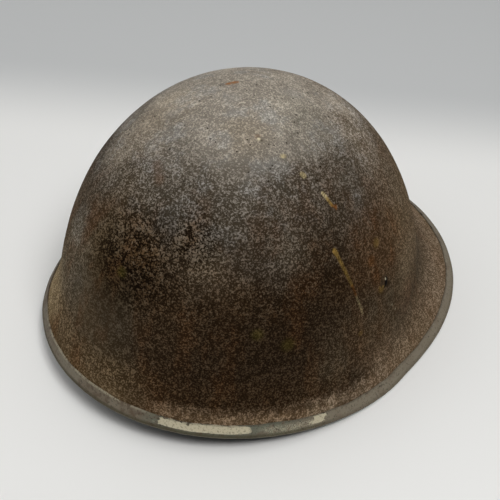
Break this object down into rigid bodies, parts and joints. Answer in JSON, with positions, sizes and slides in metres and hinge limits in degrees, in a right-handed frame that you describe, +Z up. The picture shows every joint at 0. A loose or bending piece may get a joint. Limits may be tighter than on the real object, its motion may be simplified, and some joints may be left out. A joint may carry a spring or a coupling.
{
  "type": "combat helmet",
  "caption": "Deep oval steel combat helmet with a flared brim, folded edge strip, swinging wire strap loops, a headband liner with crown pad and rubber buffers, and a webbing chin strap.",
  "frame": {"origin": "middle of the box round the whole helmet, on the plane that its rim stands on", "axes": "+Z up through the crown, -Y the way the wearer looks, +X the wearer's left"},
  "size_m": [0.239, 0.2982, 0.153],
  "materials": {
    "rusted_steel": "rough, pitted rust with the remains of old paint",
    "strip_steel": "worn grey-green paint with bare patches",
    "bracket_steel": "worn dark paint",
    "rivet_steel": "rusted",
    "wire_steel": "dull, lightly rusted",
    "liner_brass": "dull, tarnished",
    "liner_cloth": "woven, matt",
    "pad_cloth": "coated cloth over felt, matt",
    "band_fibre": "pressed fibre board, matt",
    "sweat_leather": "smooth, worn",
    "buffer_rubber": "matt",
    "strap_webbing": "woven cotton webbing"
  },
  "bodies": {
    "helmet": {"shell": "rusted_steel", "rim_strip": "strip_steel", "left_strap_bracket": "bracket_steel", "right_strap_bracket": "bracket_steel", "left_bracket_rivet": "rivet_steel", "right_bracket_rivet": "rivet_steel", "crown_stud": "wire_steel", "crown_socket": "liner_brass", "snap_spring": "wire_steel", "crown_washer": "wire_steel", "side_crown_strap": "liner_cloth", "lengthwise_crown_strap": "liner_cloth", "crown_pad": "pad_cloth", "headband": "band_fibre", "sweatband": "sweat_leather", "crown_strap_rivets": "liner_brass", "buffer_front_left": "buffer_rubber", "buffer_front_right": "buffer_rubber", "buffer_left_front": "buffer_rubber", "buffer_right_front": "buffer_rubber", "buffer_left_rear": "buffer_rubber", "buffer_right_rear": "buffer_rubber", "buffer_rear_left": "buffer_rubber", "buffer_rear_right": "buffer_rubber", "buffer_rivets": "liner_brass", "long_chin_strap": "strap_webbing", "short_chin_strap": "strap_webbing", "strap_slide": "wire_steel", "strap_keeper": "liner_brass", "strap_tip": "liner_brass"},
    "left_loop": {"left_strap_loop": "wire_steel"},
    "right_loop": {"right_strap_loop": "wire_steel"}
  },
  "joints": [
    {"name": "left_loop_swing", "type": "hinge", "parent": "helmet", "child": "left_loop", "pos_m": [0.09657, -0.01593, 0.05403], "axis": [0, 1, 0], "range_deg": [-12, 25], "deforming": ["long_chin_strap"]},
    {"name": "right_loop_swing", "type": "hinge", "parent": "helmet", "child": "right_loop", "pos_m": [-0.09657, -0.01593, 0.05403], "axis": [0, -1, 0], "range_deg": [-12, 25], "deforming": ["short_chin_strap"]}
  ]
}
